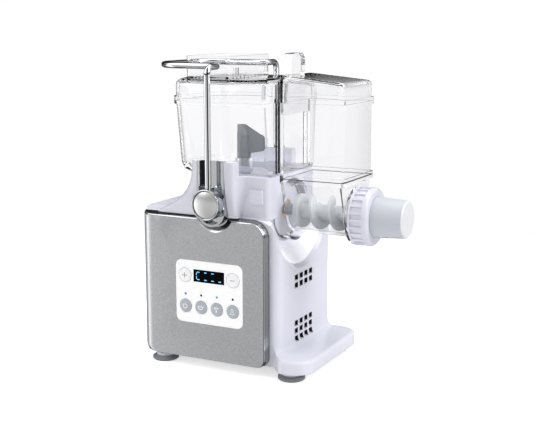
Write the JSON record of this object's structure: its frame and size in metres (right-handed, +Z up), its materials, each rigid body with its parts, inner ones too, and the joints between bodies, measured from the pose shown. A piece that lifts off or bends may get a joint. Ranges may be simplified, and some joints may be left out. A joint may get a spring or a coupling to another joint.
{
  "type": "electric pasta maker",
  "caption": "Counter-top pasta maker: upright body with a key pad, clear mixing bowl and lid under a wire bail, clear hopper and trough with an auger, ring nut and round die cap.",
  "frame": {"origin": "middle of the four feet, on the table", "axes": "+X towards the die, +Y to the back (the keys face -Y), +Z up"},
  "size_m": [0.2569, 0.1516, 0.3028],
  "materials": {
    "white_body": "gloss, injection moulded",
    "base_white": "satin",
    "foot_rubber": "matt",
    "screw_steel": "plated",
    "silver_panel": "satin silver, bright bevel",
    "plate_white": "satin",
    "display_black": "gloss",
    "dark_plastic": "matt",
    "light_pipe": "clear, tinted",
    "circuit_board": "lacquered",
    "key_white": "gloss",
    "key_grey": "satin",
    "chrome": "polished",
    "knob_steel": "brushed in circles",
    "boss_plastic": "satin",
    "clear_plastic": "clear",
    "paddle_grey": "satin",
    "steel": "turned",
    "gear_plastic": "natural",
    "brass": "machined",
    "motor_metal": "zinc plated",
    "auger_plastic": "satin",
    "die_plastic": "satin",
    "seal": "matt"
  },
  "bodies": {
    "base": {"housing": "white_body", "top_cover": "white_body", "base_plate": "base_white", "rubber_feet": "foot_rubber", "foot_screws": "screw_steel", "base_screws": "screw_steel", "front_panel": "silver_panel", "control_plate": "plate_white", "display_window": "display_black", "display_module": "dark_plastic", "light_pipes": "light_pipe", "control_board": "circuit_board", "tact_switches": "dark_plastic", "board_screws": "screw_steel", "power_board": "circuit_board", "lock_switch": "dark_plastic", "cord_gland": "dark_plastic", "bail_guide_front": "chrome", "bail_guide_rear": "chrome", "container_catches": "white_body", "mixing_bowl": "clear_plastic", "hopper": "clear_plastic", "trough": "clear_plastic", "lid": "clear_plastic", "pouring_funnel": "clear_plastic", "knead_bushes": "brass", "knead_motor": "motor_metal", "gear_plate": "steel", "auger_bushes": "brass", "auger_motor": "motor_metal", "drive_bracket": "steel"},
    "bail": {"bail_wire": "chrome", "bail_knob_front": "chrome", "bail_knob_rear": "chrome", "knob_faces": "knob_steel", "bail_pins": "boss_plastic"},
    "gate": {"gate": "clear_plastic"},
    "kneader": {"kneading_paddle": "paddle_grey", "knead_shaft": "steel", "knead_gear": "gear_plastic"},
    "knead_rotor": {"knead_pinion": "brass", "cooling_fan": "dark_plastic"},
    "screw": {"auger": "auger_plastic", "auger_shaft": "steel", "auger_gear": "gear_plastic"},
    "auger_rotor": {"auger_pinion": "brass"},
    "die": {"die_cap": "die_plastic", "die_seal": "seal"},
    "nut": {"ring_nut": "white_body"},
    "plus_key": {"plus_button": "key_white"},
    "minus_key": {"minus_button": "key_white"},
    "power_key": {"power_button": "key_grey"},
    "knead_key": {"knead_button": "key_grey"},
    "mix_key": {"mix_button": "key_grey"},
    "extrude_key": {"extrude_button": "key_grey"}
  },
  "joints": [
    {"name": "bail_swing", "type": "hinge", "parent": "base", "child": "bail", "pos_m": [-0.0065, 0, 0.1638], "axis": [0, -1, 0], "range_deg": [0, 90]},
    {"name": "gate_slide", "type": "slide", "parent": "base", "child": "gate", "axis": [0, 0, 1], "range_m": [0, 0.052]},
    {"name": "knead_spin", "type": "hinge", "parent": "base", "child": "kneader", "pos_m": [-0.0065, 0, 0], "axis": [0, 0, 1], "continuous": true},
    {"name": "knead_pinion_spin", "type": "hinge", "parent": "base", "child": "knead_rotor", "pos_m": [-0.0515, 0, 0], "axis": [0, 0, 1], "continuous": true},
    {"name": "auger_spin", "type": "hinge", "parent": "base", "child": "screw", "pos_m": [0, 0, 0.152], "axis": [1, 0, 0], "continuous": true},
    {"name": "auger_pinion_spin", "type": "hinge", "parent": "base", "child": "auger_rotor", "pos_m": [0, 0.02392, 0.13], "axis": [1, 0, 0], "continuous": true},
    {"name": "die_slide", "type": "slide", "parent": "base", "child": "die", "axis": [1, 0, 0], "range_m": [0, 0.0061]},
    {"name": "nut_turn", "type": "hinge", "parent": "die", "child": "nut", "pos_m": [0, 0, 0.152], "axis": [1, 0, 0], "range_deg": [0, 720]},
    {"name": "plus_press", "type": "slide", "parent": "base", "child": "plus_key", "axis": [0, 1, 0], "range_m": [0, 0.0008], "stiffness_N_per_m": 400, "springref_m": -0.0005},
    {"name": "minus_press", "type": "slide", "parent": "base", "child": "minus_key", "axis": [0, 1, 0], "range_m": [0, 0.0008], "stiffness_N_per_m": 400, "springref_m": -0.0005},
    {"name": "power_press", "type": "slide", "parent": "base", "child": "power_key", "axis": [0, 1, 0], "range_m": [0, 0.0008], "stiffness_N_per_m": 400, "springref_m": -0.0005},
    {"name": "knead_press", "type": "slide", "parent": "base", "child": "knead_key", "axis": [0, 1, 0], "range_m": [0, 0.0008], "stiffness_N_per_m": 400, "springref_m": -0.0005},
    {"name": "mix_press", "type": "slide", "parent": "base", "child": "mix_key", "axis": [0, 1, 0], "range_m": [0, 0.0008], "stiffness_N_per_m": 400, "springref_m": -0.0005},
    {"name": "extrude_press", "type": "slide", "parent": "base", "child": "extrude_key", "axis": [0, 1, 0], "range_m": [0, 0.0008], "stiffness_N_per_m": 400, "springref_m": -0.0005}
  ],
  "couplings": [
    {"joint": "knead_pinion_spin", "follows": "knead_spin", "ratio": -3.5},
    {"joint": "auger_pinion_spin", "follows": "auger_spin", "ratio": -2.25},
    {"joint": "die_slide", "follows": "nut_turn", "m_per_rad": 0.00047746}
  ]
}
